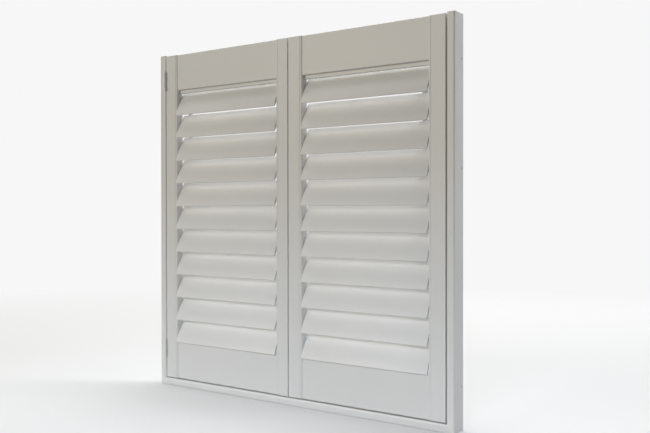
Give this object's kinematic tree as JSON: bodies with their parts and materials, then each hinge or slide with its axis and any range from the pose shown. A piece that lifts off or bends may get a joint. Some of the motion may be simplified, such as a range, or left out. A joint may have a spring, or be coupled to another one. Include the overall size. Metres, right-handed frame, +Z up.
{
  "type": "louvred window shutters",
  "caption": "Pair of folding shutter panels with tilting elliptical louvres, hinged in a moulded three-sided frame for a window recess.",
  "frame": {"origin": "middle of the frame's underside, half way through its depth", "axes": "+X from the hinged jamb to the other jamb, +Y from the room to the window, +Z up"},
  "size_m": [1.102, 0.0602, 1.117],
  "materials": {
    "white_paint": "satin white paint",
    "white_hinge": "white enamel",
    "plain_steel": "satin",
    "bare_wood": "unfinished",
    "white_plastic": "matt"
  },
  "bodies": {
    "frame": {"left_jamb": "white_paint", "right_jamb": "white_paint", "sill_member": "white_paint", "left_stop": "white_paint", "right_stop": "white_paint", "sill_stop": "white_paint", "corner_keys": "bare_wood", "upper_hinge_frame_leaf": "white_hinge", "lower_hinge_frame_leaf": "white_hinge", "jamb_hinge_pins": "white_hinge", "frame_hinge_screws": "plain_steel", "magnetic_catches": "white_plastic"},
    "left_panel": {"left_panel_hinge_stile": "white_paint", "left_panel_meeting_stile": "white_paint", "left_panel_top_rail": "white_paint", "left_panel_bottom_rail": "white_paint", "left_panel_dowels": "bare_wood", "left_panel_louvre_pins": "white_plastic", "upper_hinge_panel_leaf": "white_hinge", "lower_hinge_panel_leaf": "white_hinge", "upper_fold_hinge_left_leaf": "white_hinge", "lower_fold_hinge_left_leaf": "white_hinge", "fold_hinge_pins": "white_hinge", "left_panel_hinge_screws": "plain_steel"},
    "right_panel": {"right_panel_meeting_stile": "white_paint", "right_panel_free_stile": "white_paint", "right_panel_top_rail": "white_paint", "right_panel_bottom_rail": "white_paint", "right_panel_dowels": "bare_wood", "right_panel_louvre_pins": "white_plastic", "upper_fold_hinge_right_leaf": "white_hinge", "lower_fold_hinge_right_leaf": "white_hinge", "right_panel_screws": "plain_steel", "strike_plates": "plain_steel"},
    "left_louvre_01": {"left_louvre_01": "white_paint"},
    "left_louvre_02": {"left_louvre_02": "white_paint"},
    "left_louvre_03": {"left_louvre_03": "white_paint"},
    "left_louvre_04": {"left_louvre_04": "white_paint"},
    "left_louvre_05": {"left_louvre_05": "white_paint"},
    "left_louvre_06": {"left_louvre_06": "white_paint"},
    "left_louvre_07": {"left_louvre_07": "white_paint"},
    "left_louvre_08": {"left_louvre_08": "white_paint"},
    "left_louvre_09": {"left_louvre_09": "white_paint"},
    "left_louvre_10": {"left_louvre_10": "white_paint"},
    "left_louvre_11": {"left_louvre_11": "white_paint"},
    "left_tilt_strip": {"left_tilt_strip": "white_paint", "left_link_pins": "plain_steel"},
    "right_louvre_01": {"right_louvre_01": "white_paint"},
    "right_louvre_02": {"right_louvre_02": "white_paint"},
    "right_louvre_03": {"right_louvre_03": "white_paint"},
    "right_louvre_04": {"right_louvre_04": "white_paint"},
    "right_louvre_05": {"right_louvre_05": "white_paint"},
    "right_louvre_06": {"right_louvre_06": "white_paint"},
    "right_louvre_07": {"right_louvre_07": "white_paint"},
    "right_louvre_08": {"right_louvre_08": "white_paint"},
    "right_louvre_09": {"right_louvre_09": "white_paint"},
    "right_louvre_10": {"right_louvre_10": "white_paint"},
    "right_louvre_11": {"right_louvre_11": "white_paint"},
    "right_tilt_strip": {"right_tilt_strip": "white_paint", "right_link_pins": "plain_steel"}
  },
  "joints": [
    {"name": "left_panel_swing", "type": "hinge", "parent": "frame", "child": "left_panel", "pos_m": [-0.526, -0.0304, 0.5705], "axis": [0, 0, -1], "range_deg": [0, 85]},
    {"name": "right_panel_fold", "type": "hinge", "parent": "left_panel", "child": "right_panel", "pos_m": [0.0032, 0.0066, 0.5705], "axis": [0, 0, 1], "range_deg": [0, 170]},
    {"name": "left_louvre_01_tilt", "type": "hinge", "parent": "left_panel", "child": "left_louvre_01", "pos_m": [-0.2612, -0.0112, 0.9502], "axis": [1, 0, 0], "range_deg": [-143, 3]},
    {"name": "left_louvre_02_tilt", "type": "hinge", "parent": "left_panel", "child": "left_louvre_02", "pos_m": [-0.2612, -0.0112, 0.874], "axis": [1, 0, 0], "range_deg": [-143, 3]},
    {"name": "left_louvre_03_tilt", "type": "hinge", "parent": "left_panel", "child": "left_louvre_03", "pos_m": [-0.2612, -0.0112, 0.7978], "axis": [1, 0, 0], "range_deg": [-143, 3]},
    {"name": "left_louvre_04_tilt", "type": "hinge", "parent": "left_panel", "child": "left_louvre_04", "pos_m": [-0.2612, -0.0112, 0.7216], "axis": [1, 0, 0], "range_deg": [-143, 3]},
    {"name": "left_louvre_05_tilt", "type": "hinge", "parent": "left_panel", "child": "left_louvre_05", "pos_m": [-0.2612, -0.0112, 0.6454], "axis": [1, 0, 0], "range_deg": [-143, 3]},
    {"name": "left_louvre_06_tilt", "type": "hinge", "parent": "left_panel", "child": "left_louvre_06", "pos_m": [-0.2612, -0.0112, 0.5692], "axis": [1, 0, 0], "range_deg": [-143, 3]},
    {"name": "left_louvre_07_tilt", "type": "hinge", "parent": "left_panel", "child": "left_louvre_07", "pos_m": [-0.2612, -0.0112, 0.493], "axis": [1, 0, 0], "range_deg": [-143, 3]},
    {"name": "left_louvre_08_tilt", "type": "hinge", "parent": "left_panel", "child": "left_louvre_08", "pos_m": [-0.2612, -0.0112, 0.4168], "axis": [1, 0, 0], "range_deg": [-143, 3]},
    {"name": "left_louvre_09_tilt", "type": "hinge", "parent": "left_panel", "child": "left_louvre_09", "pos_m": [-0.2612, -0.0112, 0.3406], "axis": [1, 0, 0], "range_deg": [-143, 3]},
    {"name": "left_louvre_10_tilt", "type": "hinge", "parent": "left_panel", "child": "left_louvre_10", "pos_m": [-0.2612, -0.0112, 0.2644], "axis": [1, 0, 0], "range_deg": [-143, 3]},
    {"name": "left_louvre_11_tilt", "type": "hinge", "parent": "left_panel", "child": "left_louvre_11", "pos_m": [-0.2612, -0.0112, 0.1882], "axis": [1, 0, 0], "range_deg": [-143, 3]},
    {"name": "left_strip_swing", "type": "hinge", "parent": "left_louvre_06", "child": "left_tilt_strip", "pos_m": [-0.2612, 0.01105, 0.61286], "axis": [1, 0, 0], "range_deg": [-3, 143]},
    {"name": "right_louvre_01_tilt", "type": "hinge", "parent": "right_panel", "child": "right_louvre_01", "pos_m": [0.2612, -0.0112, 0.9502], "axis": [1, 0, 0], "range_deg": [-143, 3]},
    {"name": "right_louvre_02_tilt", "type": "hinge", "parent": "right_panel", "child": "right_louvre_02", "pos_m": [0.2612, -0.0112, 0.874], "axis": [1, 0, 0], "range_deg": [-143, 3]},
    {"name": "right_louvre_03_tilt", "type": "hinge", "parent": "right_panel", "child": "right_louvre_03", "pos_m": [0.2612, -0.0112, 0.7978], "axis": [1, 0, 0], "range_deg": [-143, 3]},
    {"name": "right_louvre_04_tilt", "type": "hinge", "parent": "right_panel", "child": "right_louvre_04", "pos_m": [0.2612, -0.0112, 0.7216], "axis": [1, 0, 0], "range_deg": [-143, 3]},
    {"name": "right_louvre_05_tilt", "type": "hinge", "parent": "right_panel", "child": "right_louvre_05", "pos_m": [0.2612, -0.0112, 0.6454], "axis": [1, 0, 0], "range_deg": [-143, 3]},
    {"name": "right_louvre_06_tilt", "type": "hinge", "parent": "right_panel", "child": "right_louvre_06", "pos_m": [0.2612, -0.0112, 0.5692], "axis": [1, 0, 0], "range_deg": [-143, 3]},
    {"name": "right_louvre_07_tilt", "type": "hinge", "parent": "right_panel", "child": "right_louvre_07", "pos_m": [0.2612, -0.0112, 0.493], "axis": [1, 0, 0], "range_deg": [-143, 3]},
    {"name": "right_louvre_08_tilt", "type": "hinge", "parent": "right_panel", "child": "right_louvre_08", "pos_m": [0.2612, -0.0112, 0.4168], "axis": [1, 0, 0], "range_deg": [-143, 3]},
    {"name": "right_louvre_09_tilt", "type": "hinge", "parent": "right_panel", "child": "right_louvre_09", "pos_m": [0.2612, -0.0112, 0.3406], "axis": [1, 0, 0], "range_deg": [-143, 3]},
    {"name": "right_louvre_10_tilt", "type": "hinge", "parent": "right_panel", "child": "right_louvre_10", "pos_m": [0.2612, -0.0112, 0.2644], "axis": [1, 0, 0], "range_deg": [-143, 3]},
    {"name": "right_louvre_11_tilt", "type": "hinge", "parent": "right_panel", "child": "right_louvre_11", "pos_m": [0.2612, -0.0112, 0.1882], "axis": [1, 0, 0], "range_deg": [-143, 3]},
    {"name": "right_strip_swing", "type": "hinge", "parent": "right_louvre_06", "child": "right_tilt_strip", "pos_m": [0.2612, 0.01105, 0.61286], "axis": [1, 0, 0], "range_deg": [-3, 143]}
  ],
  "couplings": [
    {"joint": "right_panel_fold", "follows": "left_panel_swing", "ratio": 2},
    {"joint": "left_louvre_01_tilt", "follows": "left_louvre_06_tilt", "ratio": 1},
    {"joint": "left_louvre_02_tilt", "follows": "left_louvre_06_tilt", "ratio": 1},
    {"joint": "left_louvre_03_tilt", "follows": "left_louvre_06_tilt", "ratio": 1},
    {"joint": "left_louvre_04_tilt", "follows": "left_louvre_06_tilt", "ratio": 1},
    {"joint": "left_louvre_05_tilt", "follows": "left_louvre_06_tilt", "ratio": 1},
    {"joint": "left_louvre_07_tilt", "follows": "left_louvre_06_tilt", "ratio": 1},
    {"joint": "left_louvre_08_tilt", "follows": "left_louvre_06_tilt", "ratio": 1},
    {"joint": "left_louvre_09_tilt", "follows": "left_louvre_06_tilt", "ratio": 1},
    {"joint": "left_louvre_10_tilt", "follows": "left_louvre_06_tilt", "ratio": 1},
    {"joint": "left_louvre_11_tilt", "follows": "left_louvre_06_tilt", "ratio": 1},
    {"joint": "left_strip_swing", "follows": "left_louvre_06_tilt", "ratio": -1},
    {"joint": "right_louvre_01_tilt", "follows": "right_louvre_06_tilt", "ratio": 1},
    {"joint": "right_louvre_02_tilt", "follows": "right_louvre_06_tilt", "ratio": 1},
    {"joint": "right_louvre_03_tilt", "follows": "right_louvre_06_tilt", "ratio": 1},
    {"joint": "right_louvre_04_tilt", "follows": "right_louvre_06_tilt", "ratio": 1},
    {"joint": "right_louvre_05_tilt", "follows": "right_louvre_06_tilt", "ratio": 1},
    {"joint": "right_louvre_07_tilt", "follows": "right_louvre_06_tilt", "ratio": 1},
    {"joint": "right_louvre_08_tilt", "follows": "right_louvre_06_tilt", "ratio": 1},
    {"joint": "right_louvre_09_tilt", "follows": "right_louvre_06_tilt", "ratio": 1},
    {"joint": "right_louvre_10_tilt", "follows": "right_louvre_06_tilt", "ratio": 1},
    {"joint": "right_louvre_11_tilt", "follows": "right_louvre_06_tilt", "ratio": 1},
    {"joint": "right_strip_swing", "follows": "right_louvre_06_tilt", "ratio": -1}
  ]
}
